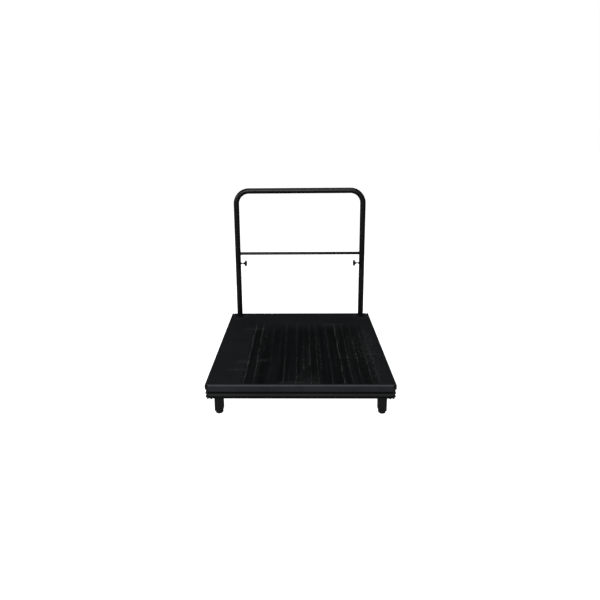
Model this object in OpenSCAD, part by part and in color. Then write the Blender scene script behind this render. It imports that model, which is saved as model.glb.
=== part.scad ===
// Folding platform cart: a square deck in an extruded frame, on two folding front legs and two
// rear wheels, with a two-part push rail at the back that is clamped by two knobs.
// X is to the right, Y to the back, Z up. The origin is on the floor under the deck's centre.

/* [Platform] */
// Width of the platform over its side rails
platform_w = 1000; // [800:10:1300]
// Depth of the platform over its end caps
platform_d = 1000; // [800:10:1300]
// Height of the frame's top above the floor
platform_top = 195; // [186:1:240]
// Height of the frame rails
frame_h = 81; // [68:1:98]
// Width of the frame's rim round the panel
rim_w = 11; // [9:0.5:13]

/* [Panel] */
// Thickness of the plywood panel
panel_thick = 15; // [12:0.5:18]
// Depth of the panel's face below the rim
panel_recess = 0.8; // [0.2:0.1:2]
// Gap between the panel's edge and the rim
panel_gap = 1; // [0.5:0.1:2]
// Diameter of the wood screws
screw_d = 5; // [4:0.5:6]

/* [Side rails] */
// Width of a side rail
side_rail_w = 16; // [15:0.5:20]
// Reach of the panel ledge from the side rail
ledge_w = 14; // [10:0.5:17]
// Thickness of the panel ledge
ledge_thick = 3; // [2:0.5:5]
// Thickness of the end caps
cap_thick = 3; // [2:0.5:5]
// Height of the flat band at the top of a side rail
side_band_h = 25.5; // [18:0.5:28]

/* [End rails] */
// Depth of the front and rear rails
end_rail_w = 30; // [25:0.5:36]
// Height of the bright lip along the top
end_lip_h = 10; // [6:0.5:14]
// Depth of the grooves in the rail's face
end_groove_depth = 9; // [5:0.5:11]
// How far the lower band swells out
end_band_bulge = 3; // [1:0.5:4]
// Wall of the hollow end rail
end_rail_wall = 3; // [2:0.5:4]

/* [Joists] */
// Distance of each joist from the middle
joist_x = 362; // [250:1:380]
// Width of a joist
joist_w = 30; // [20:1:40]
// Height of a joist
joist_h = 60; // [50:1:64]
// Wall of the joists and the cross member
joist_wall = 2.5; // [2:0.5:4]
// Height of the cross member
cross_h = 40; // [25:1:55]

/* [Push rail] */
// Distance of each upright from the middle
post_x = 436.5; // [380:0.5:560]
// Distance of the uprights from the back edge
post_inset = 54; // [50:1:70]
// Outside diameter of the uprights
tube_d = 38; // [32:0.5:42]
// Wall of the uprights
tube_wall = 2.5; // [1.5:0.25:4]
// Height of the top tube's centre above the frame
rail_h = 911; // [760:1:1090]
// Centre-line radius of the top bends
bend_r = 88; // [60:1:140]
// Height of the joint in the uprights above the frame
joint_h = 358; // [290:1:420]
// Height of the clamp knobs above the joint
knob_rise = 39; // [30:1:60]
// Height of the crossbar above the joint
crossbar_rise = 111; // [90:1:140]
// Diameter of the crossbar
crossbar_d = 20; // [16:0.5:25]
// Wall of the crossbar
crossbar_wall = 2; // [1.5:0.25:3]
// Length of the spigot above the joint
spigot_up = 200; // [150:1:240]
// Length of the spigot below the joint
spigot_down = 80; // [50:1:120]
// Wall of the spigot
spigot_wall = 2.7; // [2:0.1:4]
// Outside diameter of the collar at the foot of a post
collar_d = 46; // [43:0.5:56]
// Height of the collar
collar_h = 3; // [2:0.5:8]

/* [Clamp knobs] */
// Thread diameter of the clamp screw
clamp_d = 8; // [6:1:10]
// Diameter of the knob's head
knob_d = 40; // [30:1:46]
// Thickness of the knob's head
knob_head_h = 14; // [8:0.5:16]
// Length of the knob's conical hub
knob_hub_h = 10; // [8:0.5:14]
// Distance from the tube to the knob's face
knob_reach = 42; // [38:0.5:48]
// Diameter of the welded nut
clamp_nut_d = 14; // [12:0.5:20]
// Height of the welded nut
clamp_nut_h = 5; // [4:0.5:8]
// Diameter of the pressure pad
pad_d = 8; // [7:0.5:10]
// Length of the pressure pad
pad_h = 4; // [3:0.5:6]

/* [Legs] */
// Distance of each leg and wheel from the middle
leg_x = 439; // [400:1:600]
// Distance of a leg's centre from the front edge
leg_inset = 63; // [58:1:72]
// Outside width of the square leg
leg_w = 45; // [38:0.5:47]
// Wall of the leg
leg_wall = 2.5; // [2:0.5:4]
// Depth of the leg's pivot below the frame's top
pivot_depth = 42; // [40:0.5:44]
// How far the pivot stands behind the leg's centre
pivot_back = 12; // [8:0.5:14]
// Leg above its pivot
leg_over_pivot = 12; // [11:0.5:14]
// Diameter of the pivot bolt
pivot_d = 10; // [8:1:12]
// Outside diameter of the pivot bush
pivot_bush_d = 14; // [13:0.5:18]
// Thickness of the friction washers
washer_thick = 1.3; // [1:0.1:2]
// Diameter of the friction washers
washer_d = 24; // [20:0.5:26]
// Diameter of the rubber foot
foot_d = 41; // [34:0.5:44]
// Height of the rubber foot
foot_h = 18; // [12:0.5:24]

/* [Wheels] */
// Diameter of the wheels
wheel_d = 100; // [80:1:108]
// Width of the tyre
tyre_w = 30; // [24:0.5:34]
// Thickness of the tyre
tyre_thick = 13; // [9:0.5:16]
// Width of the hub
hub_w = 34; // [30:0.5:40]
// Distance of the axle from the back edge
axle_inset = 120; // [118:1:140]
// Diameter of the axle
axle_d = 12; // [10:1:14]
// Length of each bearing bush
bearing_l = 12; // [8:0.5:15]

/* [Brackets] */
// Thickness of the bracket plates
plate = 4; // [3:0.5:5]

/* [Hidden] */
$fn = 64;
left = -1;
right = 1;
run_gap = 0.05;     // radial clearance of turning and screwing pieces
slide_gap = 0.3;    // clearance of the sliding spigot and of faces on different pieces
seam_gap = 0.5;     // open seam between an upright and its post
fit_gap = 0.2;      // clearance of pushed-in pieces
tiny = 1;           // overlap that joins two shapes of one piece

hw = platform_w / 2;
hd = platform_d / 2;
frame_z = platform_top - frame_h;
seat_h = frame_h - panel_recess - panel_thick;  // panel seat above the frame's foot
seat_z = frame_z + seat_h;
panel_top = seat_z + panel_thick;
plate_z = seat_z - plate;                       // underside of the plates fixed to the panel

post_y = hd - post_inset;
tube_r = tube_d / 2;
bore_r = tube_r - tube_wall;
joint_z = platform_top + joint_h;
rail_z = platform_top + rail_h;
knob_z = joint_z + knob_rise;
crossbar_z = joint_z + crossbar_rise;
spigot_r = bore_r - slide_gap;

socket_wall = 3.5;
socket_r = tube_r + fit_gap / 2 + socket_wall;
socket_floor = 4;
socket_z = frame_z + 6;
socket_flange_x = 30;
socket_flange_y = 34;
post_bolt_d = 8;
post_bolt_z = socket_z + 25;

leg_y = -hd + leg_inset;
pivot_y = leg_y + pivot_back;
pivot_z = platform_top - pivot_depth;
cheek_in = leg_w / 2 + washer_thick + fit_gap;  // inner face of the leg bracket's cheeks
leg_front = leg_y - leg_w / 2;
leg_stop_drop = 14;                             // top of the leg's stop below its pivot
cheek_back = 15;                                // cheek behind the pivot

wheel_r = wheel_d / 2;
axle_y = hd - axle_inset;
hub_gap = 1.2;
fork_in = hub_w / 2 + hub_gap;
fork_plate_y = 30;
fork_plate_x = 30;
bearing_r = axle_d / 2 + 3.5;

hex_pivot = 17;
hex_axle = 19;
bolt_head_ratio = 0.64;                         // height of a hexagon head over its thread
nut_ratio = 0.8;

corner_arm = 22;
corner_plate = 4;
corner_bolt_x = hw - 29;
corner_bolt_y = hd - 15;
corner_bolt_d = 6;
corner_bolt_head = 10;
corner_bolt_head_h = 8;
joist_bolt_rise = 9.8;                          // joist bolts above the joist's underside
joist_bolt_h = seat_h - joist_h + joist_bolt_rise;
joist_bolt_d = 6;
joist_bolt_head = 11;
joist_bolt_head_h = 3.2;
joist_bolt_seat = end_rail_w - 3.5;             // flat under the head, from the rail's inner face

// ---- shared shapes ----

// Cylinder along X from x0 to x1
module rod_x(x0, x1, r) {
    translate([min(x0, x1), 0, 0]) rotate([0, 90, 0]) cylinder(h = abs(x1 - x0), r = r);
}

// Outline extruded along Y from y0 to y1, its first coordinate measured inwards from one side
module rail_along_y(side, y0, y1) {
    translate([side * hw, y1, frame_z]) rotate([90, 0, 0])
        linear_extrude(y1 - y0) mirror([side > 0 ? 1 : 0, 0, 0]) children();
}

// Hexagon head or nut along X, starting at x and reaching along dir
module hex_x(x, dir, across, h) {
    translate([x, 0, 0]) rotate([0, dir * 90, 0])
        cylinder(h = h, r = across / sqrt(3), $fn = 6);
}

// Rib across a rail's face from z0 to z1: d is its depth, below and above the depths beside it
function rib(z0, z1, d, below, above, c = 1.5) =
    [[below, z0], [d + c, z0], [d, z0 + c], [d, z1 - c], [d + c, z1], [above, z1]];

// ---- frame ----

foot_lip_h = 9;
hook_h = 10;
hook_gap = 11;
lower_hook_d = 2.9;
upper_hook_d = 2.3;
hook_floor_d = 8;
foot_lip_d = 9.4;
side_band_step = 6;
web_d = 12;                                     // side rail's web from its outer face
upper_hook_z = foot_lip_h + hook_h + hook_gap;

// Outer contour of the side rail, from its foot to its top
side_face = concat([[foot_lip_d, 0], [foot_lip_d, foot_lip_h]],
    rib(foot_lip_h, foot_lip_h + hook_h, lower_hook_d, foot_lip_d - 1, hook_floor_d),
    rib(upper_hook_z, upper_hook_z + hook_h - 1, upper_hook_d, hook_floor_d, side_band_step),
    [[side_band_step, frame_h - side_band_h - 1.5], [1, frame_h - side_band_h],
     [0, frame_h - side_band_h + 1], [0, frame_h - 1.5], [1.5, frame_h]]);

// Section of the side rail: x runs inwards from the outer face
module side_section(web = web_d) {
    polygon(concat(side_face, [[rim_w, frame_h], [rim_w, seat_h], [side_rail_w, seat_h],
        [side_rail_w, seat_h - 8], [web, seat_h - 8], [web, 5], [side_rail_w, 5], [side_rail_w, 0]]));
}

module side_rail(side) {
    color([0.16, 0.17, 0.18]) difference() {
        union() {
            rail_along_y(side, -hd + cap_thick, hd - cap_thick) side_section();
            rail_along_y(side, -hd + end_rail_w, hd - end_rail_w)
                translate([side_rail_w - tiny, seat_h - ledge_thick])
                square([ledge_w + tiny, ledge_thick]);
        }
        for (p = ledge_screws) if (p[0] * side > 0)
            translate([p[0], p[1], seat_z - ledge_thick - 1]) cylinder(h = ledge_thick + 2, d = screw_d);
    }
}

module end_caps() {
    color([0.1, 0.1, 0.11]) for (side = [left, right], y = [-hd, hd - cap_thick])
        rail_along_y(side, y, y + cap_thick) side_section(side_rail_w);
}

end_foot_lip_h = 6;
end_low_groove_h = 5;
end_low_band_h = 21;
end_mid_groove_h = 7.5;
end_band_d = 1.5;
end_foot_lip_d = 5;
end_flat_d = 1;
end_edge_r = 4;
low_band_z = end_foot_lip_h + end_low_groove_h;
mid_groove_z = low_band_z + end_low_band_h;
flat_band_z = mid_groove_z + end_mid_groove_h;

// Swelling lower band of the end rail, from its foot to its top
low_band = [for (a = [-1 : 0.2 : 1])
    [end_band_d + end_band_bulge * a * a, low_band_z + end_low_band_h * (1 + a) / 2]];

// Rounded outer edge along the top of the end rail
top_edge = [for (a = [0 : 15 : 90])
    [end_edge_r * (1 - cos(a)), frame_h - end_edge_r * (1 - sin(a))]];

// Section of the front and rear rails: x runs inwards from the outer face
module end_section() {
    difference() {
        polygon(concat([[end_foot_lip_d, 0], [end_foot_lip_d, end_foot_lip_h],
            [end_groove_depth, end_foot_lip_h], [end_groove_depth, low_band_z]], low_band,
            [[end_groove_depth, mid_groove_z], [end_groove_depth, flat_band_z],
             [end_flat_d, flat_band_z], [end_flat_d, frame_h - end_lip_h],
             [0, frame_h - end_lip_h + 1]], top_edge,
            [[rim_w, frame_h], [rim_w, seat_h], [end_rail_w, seat_h], [end_rail_w, 0]]));
        translate([end_groove_depth + end_rail_wall, end_rail_wall])
            square([end_rail_w - end_groove_depth - 2 * end_rail_wall, seat_h - 2 * end_rail_wall]);
    }
}

// A rail across one end of the frame: end is -1 at the front, 1 at the back
module end_rail(end) {
    inner_w = platform_w - 2 * side_rail_w;
    color([0.16, 0.17, 0.18]) difference() {
        translate([-inner_w / 2, end * hd, frame_z]) rotate([90, 0, 90])
            linear_extrude(inner_w) mirror([end > 0 ? 1 : 0, 0, 0]) end_section();
        for (side = [left, right]) {
            joist_bolt_at(side, end) {
                cylinder(h = 2 * end_rail_w, d = joist_bolt_d, center = true);
                translate([0, 0, joist_bolt_seat]) cylinder(h = end_rail_w, d = joist_bolt_head + 1);
            }
            translate([side * corner_bolt_x, end * corner_bolt_y, frame_z - 1])
                cylinder(h = end_rail_wall + 2, d = corner_bolt_d);
        }
    }
}

module corner_brackets() {
    color("dimgray") for (side = [left, right], end = [-1, 1]) {
        scale_x = side > 0 ? 1 : 0;
        scale_y = end > 0 ? 1 : 0;
        translate([side * (hw - side_rail_w), end * (hd - end_rail_w), frame_z + 8])
            mirror([scale_x, 0, 0]) mirror([0, scale_y, 0]) linear_extrude(seat_h - 22)
            polygon([[0, 0], [corner_arm, 0], [corner_arm, corner_plate],
                [corner_plate * 2, corner_plate], [corner_plate, corner_plate * 2],
                [corner_plate, corner_arm], [0, corner_arm]]);
    }
}

// Bolts up into the ends of the front and rear rails
module corner_bolts() {
    color([0.12, 0.12, 0.12]) for (side = [left, right], end = [-1, 1])
        translate([side * corner_bolt_x, end * corner_bolt_y, frame_z]) {
            translate([0, 0, -corner_bolt_head_h])
                cylinder(h = corner_bolt_head_h, d = corner_bolt_head, $fn = 6);
            translate([0, 0, -tiny]) cylinder(h = tiny + 14, d = corner_bolt_d);
        }
}

// ---- joists ----

// Places children on a joist bolt's axis, at the end rail's inner face and pointing outwards
module joist_bolt_at(side, end) {
    translate([side * joist_x, end * (hd - end_rail_w), frame_z + joist_bolt_h])
        rotate([-end * 90, 0, 0]) children();
}

module joist(side) {
    len = platform_d - 2 * end_rail_w;
    color([0.2, 0.2, 0.21]) difference() {
        translate([side * joist_x - joist_w / 2, -len / 2, seat_z - joist_h])
            cube([joist_w, len, joist_h]);
        translate([side * joist_x - joist_w / 2 + joist_wall, -len / 2 + 5, seat_z - joist_h + joist_wall])
            cube([joist_w - 2 * joist_wall, len - 10, joist_h - 2 * joist_wall]);
        for (end = [-1, 1]) joist_bolt_at(side, end)
            cylinder(h = 30, d = joist_bolt_d, center = true);
    }
}

module joist_bolts() {
    color([0.16, 0.16, 0.17]) for (side = [left, right], end = [-1, 1]) joist_bolt_at(side, end) {
        translate([0, 0, -12]) cylinder(h = 12 + joist_bolt_seat + tiny, d = joist_bolt_d);
        translate([0, 0, joist_bolt_seat]) cylinder(h = joist_bolt_head_h, d = joist_bolt_head);
    }
}

module cross_member() {
    span = 2 * joist_x - joist_w;
    color([0.2, 0.2, 0.21]) translate([-span / 2, -joist_w / 2, seat_z - cross_h]) difference() {
        cube([span, joist_w, cross_h]);
        translate([-1, joist_wall, joist_wall])
            cube([span + 2, joist_w - 2 * joist_wall, cross_h - 2 * joist_wall]);
    }
}

// ---- panel and its screws ----

ledge_screws = [for (side = [left, right], y = [-3 : 2 : 3])
    [side * (hw - side_rail_w - ledge_w / 2), y * (hd - end_rail_w) / 3.6]];

// Screws up through the plates: two for each leg bracket and socket, four for each wheel fork
plate_screws = [for (side = [left, right]) each concat(
    [for (dx = [-1, 1]) [side * leg_x + dx * (cheek_in - 8), pivot_y + cheek_back - 8]],
    [for (dx = [-1, 1], dy = [-1, 1])
        [side * leg_x + dx * (fork_in - 8), axle_y + dy * (fork_plate_y - 7)]],
    [for (dx = [-1, 1]) [side * post_x + dx * (socket_flange_x - 6), post_y - socket_flange_y + 7]])];

module deck_panel() {
    inset = rim_w + panel_gap;
    color([0.07, 0.07, 0.08]) difference() {
        translate([-hw + inset, -hd + inset, seat_z])
            cube([platform_w - 2 * inset, platform_d - 2 * inset, panel_thick]);
        for (side = [left, right]) translate([side * post_x, post_y, seat_z - 1])
            cylinder(h = panel_thick + 2, r = tube_r + slide_gap);
        for (p = concat(ledge_screws, plate_screws)) translate([p[0], p[1], seat_z - 1])
            cylinder(h = 1 + panel_thick * 0.7, d = screw_d);
    }
}

// Pan-head screw standing head down under a plate of the given thickness
module wood_screw(p, through) {
    translate([p[0], p[1], seat_z - through]) {
        cylinder(h = through + panel_thick * 0.7, d = screw_d);
        translate([0, 0, -3]) cylinder(h = 3, d = screw_d * 1.9);
    }
}

module panel_screws() {
    color("silver") for (p = ledge_screws) wood_screw(p, ledge_thick);
}

module bracket_screws() {
    color("silver") for (p = plate_screws) wood_screw(p, plate);
}

// Bores for the screws through a plate under the panel
module plate_screw_holes() {
    for (p = plate_screws) translate([p[0], p[1], plate_z - 1]) cylinder(h = plate + 2, d = screw_d);
}

// ---- posts ----

module post_socket(side) {
    color([0.22, 0.22, 0.23]) difference() {
        union() {
            translate([side * post_x, post_y, socket_z])
                cylinder(h = seat_z - socket_z, r = socket_r);
            translate([side * post_x - socket_flange_x, post_y - socket_flange_y, plate_z])
                cube([2 * socket_flange_x, socket_flange_y + socket_r, plate]);
        }
        translate([side * post_x, post_y, socket_z + socket_floor])
            cylinder(h = seat_z, r = tube_r + fit_gap / 2);
        translate([side * post_x, post_y, post_bolt_z]) rod_x(-2 * socket_r, 2 * socket_r, post_bolt_d / 2);
        plate_screw_holes();
    }
}

module post_collar(side) {
    color([0.2, 0.2, 0.21]) translate([side * post_x, post_y, panel_top]) difference() {
        cylinder(h = collar_h, d = collar_d);
        translate([0, 0, -1]) cylinder(h = collar_h + 2, r = tube_r + fit_gap / 2);
    }
}

module lower_post(side) {
    foot = socket_z + socket_floor;
    color([0.13, 0.13, 0.14]) difference() {
        translate([side * post_x, post_y, foot]) difference() {
            cylinder(h = joint_z - foot, r = tube_r);
            translate([0, 0, -1]) cylinder(h = joint_z - foot + 2, r = bore_r);
        }
        translate([side * post_x, post_y, post_bolt_z]) rod_x(-socket_r, socket_r, post_bolt_d / 2);
    }
}

module post_bolts() {
    across = 13;
    color("gray") for (side = [left, right]) translate([side * post_x, post_y, post_bolt_z]) {
        rod_x(-socket_r - tiny, socket_r + 6, post_bolt_d / 2);
        hex_x(-socket_r, -1, across, post_bolt_d * bolt_head_ratio);
    }
}

// Tube that stands in the lower post and guides the upper rail
module spigot(side) {
    color([0.6, 0.61, 0.62]) translate([side * post_x, post_y, joint_z]) difference() {
        union() {
            translate([0, 0, -spigot_down]) cylinder(h = spigot_down, r = bore_r);
            translate([0, 0, -tiny]) cylinder(h = spigot_up + tiny, r = spigot_r);
        }
        translate([0, 0, -spigot_down - 1])
            cylinder(h = spigot_down + spigot_up + 2, r = spigot_r - spigot_wall);
    }
}

// ---- upper rail ----

// The bent tube of the upper rail with radius r, its ends lengthened downwards by over
module rail_shape(r, over = 0) {
    bottom = joint_z + seam_gap - over;
    for (side = [left, right]) {
        translate([side * post_x, post_y, bottom]) cylinder(h = rail_z - bend_r - bottom, r = r);
        translate([side * (post_x - bend_r), post_y, rail_z - bend_r]) rotate([90, 0, 0])
            mirror([side > 0 ? 0 : 1, 0, 0]) rotate_extrude(angle = 90) translate([bend_r, 0]) circle(r);
    }
    translate([0, post_y, rail_z]) rod_x(bend_r - post_x, post_x - bend_r, r);
}

module upper_rail() {
    color([0.13, 0.13, 0.14]) difference() {
        rail_shape(tube_r);
        rail_shape(bore_r, over = 1);
        for (side = [left, right]) translate([side * post_x, post_y, knob_z])
            rod_x(-side * tube_r * 1.5, 0, pad_d / 2 + slide_gap);
    }
}

// Tube between the uprights, its ends cut to sit on them
module crossbar() {
    color([0.13, 0.13, 0.14]) difference() {
        translate([0, post_y, crossbar_z]) difference() {
            rod_x(-post_x, post_x, crossbar_d / 2);
            rod_x(-post_x - 1, post_x + 1, crossbar_d / 2 - crossbar_wall);
        }
        for (side = [left, right]) translate([side * post_x, post_y, crossbar_z - crossbar_d])
            cylinder(h = 2 * crossbar_d, r = tube_r);
    }
}

// ---- clamp knobs: measured from the upright's axis towards the middle of the cart ----

// Places children at an upright's axis at knob height, with +X pointing to the cart's middle
module clamp_at(side) {
    translate([side * post_x, post_y, knob_z]) rotate([0, 0, side > 0 ? 180 : 0]) children();
}

pad_start = spigot_r + 0.1;
pad_tip_d = clamp_d / 2;
pad_tip_l = 2.2;
nut_end = tube_r + clamp_nut_h;
knob_face = tube_r + knob_reach;
hub_start = knob_face - knob_head_h - knob_hub_h;

module clamp_nut(side) {
    color([0.14, 0.14, 0.15]) clamp_at(side) difference() {
        rod_x(0, nut_end, clamp_nut_d / 2);
        rod_x(-1, nut_end + 1, clamp_d / 2 + run_gap);
        cylinder(h = 2 * clamp_nut_d, r = tube_r, center = true);
        rod_x(-1, tube_r + 1, pad_d / 2 + slide_gap);
    }
}

module clamp_pad(side) {
    color("silver") clamp_at(side) difference() {
        rod_x(pad_start, pad_start + pad_h, pad_d / 2);
        rod_x(pad_start + pad_h - pad_tip_l - 0.3, pad_start + pad_h + 1, pad_tip_d / 2 + run_gap);
    }
}

module clamp_screw(side) {
    shoulder = pad_start + pad_h + 0.1;
    color([0.12, 0.12, 0.12]) clamp_at(side) {
        rod_x(shoulder - pad_tip_l, shoulder + tiny, pad_tip_d / 2);
        rod_x(shoulder, knob_face - knob_head_h / 2, clamp_d / 2);
    }
}

// Domed knob on a conical hub
module knob(side) {
    dome = 4;
    edge = 1.5;
    hub_d = clamp_nut_d;
    waist_d = hub_d * 1.5;
    outline = concat([[0, hub_start], [hub_d / 2, hub_start],
        [waist_d / 2, knob_face - knob_head_h], [knob_d / 2 - edge, knob_face - knob_head_h],
        [knob_d / 2, knob_face - knob_head_h + edge]],
        [for (a = [0 : 15 : 90]) [knob_d / 2 * cos(a), knob_face - dome + dome * sin(a)]]);
    color([0.06, 0.06, 0.06]) clamp_at(side) difference() {
        rotate([0, 90, 0]) rotate_extrude() polygon(outline);
        rod_x(hub_start - 1, knob_face - knob_head_h / 2, clamp_d / 2);
    }
}

// ---- folding legs ----

module leg_bracket(side) {
    cheek_y0 = leg_front - slide_gap - plate;
    cheek_y1 = pivot_y + cheek_back;
    stop_h = pivot_z - leg_stop_drop - frame_z - 2;
    color([0.22, 0.22, 0.23]) difference() {
        translate([side * leg_x, 0, 0]) {
            translate([-cheek_in - plate, cheek_y0, plate_z])
                cube([2 * (cheek_in + plate), cheek_y1 - cheek_y0, plate]);
            for (x = [-cheek_in - plate, cheek_in]) translate([x, cheek_y0, frame_z + 2])
                cube([plate, cheek_y1 - cheek_y0, plate_z - frame_z - 2 + tiny]);
            translate([-cheek_in - tiny, cheek_y0, frame_z + 2])
                cube([2 * (cheek_in + tiny), plate, stop_h]);
        }
        translate([side * leg_x, pivot_y, pivot_z])
            rod_x(-cheek_in - 2 * plate, cheek_in + 2 * plate, pivot_d / 2);
        plate_screw_holes();
    }
}

// Bolt with its head on the outside of the cart and its nut towards the middle
module cross_bolt(side, grip, d, across) {
    mirror([side > 0 ? 0 : 1, 0, 0]) {
        rod_x(-grip - d * nut_ratio - 2, grip + tiny, d / 2);
        hex_x(grip, 1, across, d * bolt_head_ratio);
    }
}

// Nut of a cross bolt
module cross_nut(side, grip, d, across) {
    mirror([side > 0 ? 0 : 1, 0, 0]) difference() {
        hex_x(-grip, -1, across, d * nut_ratio);
        rod_x(-grip - 2 * d, -grip + 1, d / 2);
    }
}

module pivot_bolt(side) {
    color("silver") translate([side * leg_x, pivot_y, pivot_z])
        cross_bolt(side, cheek_in + plate, pivot_d, hex_pivot);
}

module pivot_nuts() {
    color("silver") for (side = [left, right]) translate([side * leg_x, pivot_y, pivot_z])
        cross_nut(side, cheek_in + plate, pivot_d, hex_pivot);
}

module leg_tube(side) {
    leg_l = pivot_z + leg_over_pivot - foot_h;
    inner = leg_w - 2 * leg_wall;
    color([0.13, 0.13, 0.14]) difference() {
        translate([side * leg_x - leg_w / 2, leg_y - leg_w / 2, foot_h]) difference() {
            cube([leg_w, leg_w, leg_l]);
            translate([leg_wall, leg_wall, -1]) cube([inner, inner, leg_l + 2]);
        }
        translate([side * leg_x, pivot_y, pivot_z]) rod_x(-leg_w, leg_w, pivot_bush_d / 2);
    }
}

// Spacer tube through the leg that turns on the pivot bolt
module pivot_bush(side) {
    color("silver") translate([side * leg_x, pivot_y, pivot_z]) difference() {
        rod_x(-leg_w / 2, leg_w / 2, pivot_bush_d / 2);
        rod_x(-leg_w, leg_w, pivot_d / 2 + run_gap);
    }
}

module friction_washers(side) {
    color("ivory") translate([side * leg_x, pivot_y, pivot_z]) difference() {
        for (x = [-leg_w / 2 - washer_thick, leg_w / 2]) intersection() {
            rod_x(x, x + washer_thick, washer_d / 2);
            translate([x - 1, -leg_w, -leg_over_pivot])
                cube([washer_thick + 2, leg_w * 2, 2 * leg_over_pivot]);
        }
        rod_x(-leg_w, leg_w, pivot_d / 2 + run_gap);
    }
}

// Round rubber foot with a square plug in the end of the leg
module leg_foot(side) {
    edge = 3;
    plug = leg_w - 2 * leg_wall - fit_gap;
    plug_h = 25;
    wall = 5;
    color([0.05, 0.05, 0.05]) translate([side * leg_x, leg_y, 0]) {
        rotate_extrude() polygon(concat([[0, 0]],
            [for (a = [0 : 15 : 90]) [foot_d / 2 - edge + edge * sin(a), edge - edge * cos(a)]],
            [[foot_d / 2, foot_h], [0, foot_h]]));
        translate([-plug / 2, -plug / 2, foot_h - tiny]) difference() {
            cube([plug, plug, plug_h + tiny]);
            translate([wall, wall, tiny + wall]) cube([plug - 2 * wall, plug - 2 * wall, plug_h]);
        }
    }
}

// ---- rear wheels ----

module wheel_fork(side) {
    arm_r = 16;
    arm_h = plate_z - wheel_r;
    color([0.22, 0.22, 0.23]) difference() {
        translate([side * leg_x, axle_y, wheel_r]) {
            translate([-fork_plate_x, -fork_plate_y, arm_h])
                cube([2 * fork_plate_x, 2 * fork_plate_y, plate]);
            for (x = [-fork_in - plate, fork_in]) translate([x, 0, 0]) rotate([90, 0, 90])
                linear_extrude(plate) {
                    circle(arm_r);
                    polygon([[-arm_r, 0], [arm_r, 0], [fork_plate_y - 4, arm_h + tiny],
                        [-fork_plate_y + 4, arm_h + tiny]]);
                }
        }
        translate([side * leg_x, axle_y, wheel_r])
            rod_x(-fork_in - 2 * plate, fork_in + 2 * plate, axle_d / 2);
        plate_screw_holes();
    }
}

module axle(side) {
    color("silver") translate([side * leg_x, axle_y, wheel_r])
        cross_bolt(side, fork_in + plate, axle_d, hex_axle);
}

module axle_nuts() {
    color("silver") for (side = [left, right]) translate([side * leg_x, axle_y, wheel_r])
        cross_nut(side, fork_in + plate, axle_d, hex_axle);
}

// Turns a section drawn with x as radius and y as width into a wheel part about X
module wheel_turn(side) {
    translate([side * leg_x, axle_y, wheel_r]) rotate([0, 90, 0]) rotate_extrude() children();
}

module tyre(side) {
    crown = 2.5;
    rim_r = wheel_r - tyre_thick;
    color([0.05, 0.05, 0.05]) wheel_turn(side) polygon(concat(
        [[rim_r, -tyre_w / 2 + 1], [rim_r, tyre_w / 2 - 1]],
        [for (a = [1 : -0.125 : -1]) [wheel_r - crown * a * a * abs(a), a * tyre_w / 2]]));
}

module wheel_hub(side) {
    rim_r = wheel_r - tyre_thick;
    rim_thick = 5;
    web = 7;
    boss_r = bearing_r + 4;
    spoke_l = rim_r - rim_thick - boss_r + 2 * tiny;
    spokes = 6;
    color([0.3, 0.3, 0.31]) {
        wheel_turn(side) {
            translate([rim_r - rim_thick, -tyre_w / 2 + 1]) square([rim_thick, tyre_w - 2]);
            translate([boss_r - tiny, -web / 2]) square([spoke_l, web]);
            translate([bearing_r, -hub_w / 2]) square([boss_r - bearing_r, hub_w]);
            translate([axle_d / 2 + tiny, -hub_w / 2 + bearing_l])
                square([bearing_r - axle_d / 2, hub_w - 2 * bearing_l]);
        }
        for (i = [0 : spokes - 1]) translate([side * leg_x, axle_y, wheel_r])
            rotate([i * 360 / spokes, 0, 0]) translate([-tyre_w / 2 + 4, -2, boss_r - tiny])
            cube([tyre_w - 8, 4, spoke_l]);
    }
}

module wheel_bearings(side) {
    color("ivory") wheel_turn(side) for (y = [-hub_w / 2, hub_w / 2 - bearing_l])
        translate([axle_d / 2 + run_gap, y]) square([bearing_r - axle_d / 2 - run_gap, bearing_l]);
}

deck_panel();
side_rail(left);  // side_rail_left
side_rail(right);  // side_rail_right
end_rail(-1);  // front_rail
end_rail(1);  // rear_rail
end_caps();
corner_brackets();
corner_bolts();
joist(left);  // joist_left
joist(right);  // joist_right
cross_member();
joist_bolts();
panel_screws();
bracket_screws();
post_socket(left);  // post_socket_left
post_socket(right);  // post_socket_right
post_collar(left);  // post_collar_left
post_collar(right);  // post_collar_right
lower_post(left);  // lower_post_left
lower_post(right);  // lower_post_right
post_bolts();
spigot(left);  // spigot_left
spigot(right);  // spigot_right
leg_bracket(left);  // leg_bracket_left
leg_bracket(right);  // leg_bracket_right
pivot_bolt(left);  // pivot_bolt_left
pivot_bolt(right);  // pivot_bolt_right
pivot_nuts();
wheel_fork(left);  // wheel_fork_left
wheel_fork(right);  // wheel_fork_right
axle(left);  // axle_left
axle(right);  // axle_right
axle_nuts();
upper_rail();
crossbar();
clamp_nut(left);  // clamp_nut_left
clamp_nut(right);  // clamp_nut_right
clamp_pad(left);  // clamp_pad_left
clamp_pad(right);  // clamp_pad_right
clamp_screw(left);  // clamp_screw_left
clamp_screw(right);  // clamp_screw_right
knob(left);  // knob_left
knob(right);  // knob_right
leg_tube(left);  // leg_tube_left
leg_tube(right);  // leg_tube_right
leg_foot(left);  // leg_foot_left
leg_foot(right);  // leg_foot_right
pivot_bush(left);  // pivot_bush_left
pivot_bush(right);  // pivot_bush_right
friction_washers(left);  // friction_washers_left
friction_washers(right);  // friction_washers_right
wheel_hub(left);  // wheel_hub_left
wheel_hub(right);  // wheel_hub_right
tyre(left);  // tyre_left
tyre(right);  // tyre_right
wheel_bearings(left);  // wheel_bearings_left
wheel_bearings(right);  // wheel_bearings_right
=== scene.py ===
# Folding platform cart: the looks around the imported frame.
import math

import bmesh
import bpy
from mathutils import Matrix, Vector


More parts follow.
